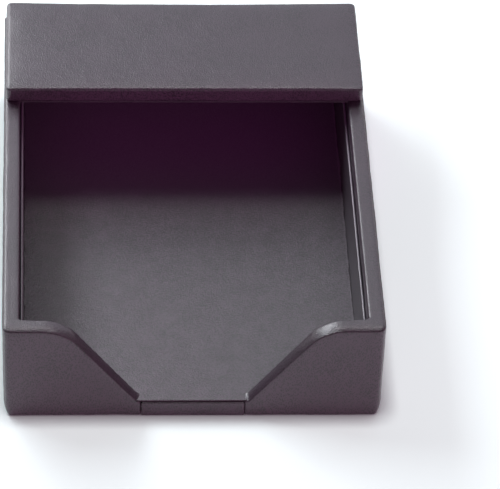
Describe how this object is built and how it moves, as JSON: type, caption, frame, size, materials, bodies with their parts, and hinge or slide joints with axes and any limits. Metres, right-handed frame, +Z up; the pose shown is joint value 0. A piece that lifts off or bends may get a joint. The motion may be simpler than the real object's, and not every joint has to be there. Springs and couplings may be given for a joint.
{
  "type": "memo pad holder",
  "caption": "Leather covered memo pad holder: open tray with a finger notch in its front, a padded cap over the rear and a thin inner tray that slides out at the back.",
  "frame": {"origin": "on the table under the middle of the case", "axes": "+X to the right as seen from the front, +Y to the back, +Z up"},
  "size_m": [0.118, 0.167, 0.0402],
  "materials": {
    "leather": "fine grain, satin, dark aubergine brown",
    "cap_leather": "fine grain, satin, dark aubergine brown",
    "floor_lining": "matte, short suede-like nap, charcoal",
    "lining": "matte, dark",
    "tray_card": "matte card, covered in charcoal lining",
    "board": "grey binder's board",
    "padding": "thin wadding",
    "felt": "matte felt, black"
  },
  "bodies": {
    "case": {"base_felt": "felt", "base_board": "board", "base_lining": "lining", "sill_leather": "leather", "rear_sill_leather": "leather", "left_wall_board": "board", "left_wing_board": "board", "left_case_leather": "leather", "right_wall_board": "board", "right_wing_board": "board", "right_case_leather": "leather", "cap_board": "board", "cap_padding": "padding", "cap_leather": "cap_leather", "cap_lining": "lining"},
    "drawer": {"drawer_floor_board": "tray_card", "drawer_floor_lining": "floor_lining", "drawer_left_side": "tray_card", "drawer_right_side": "tray_card", "drawer_back_board": "board", "drawer_back_lining": "floor_lining", "drawer_back_leather": "leather"}
  },
  "joints": [
    {"name": "drawer_slide", "type": "slide", "parent": "case", "child": "drawer", "axis": [0, 1, 0], "range_m": [0, 0.1]}
  ]
}
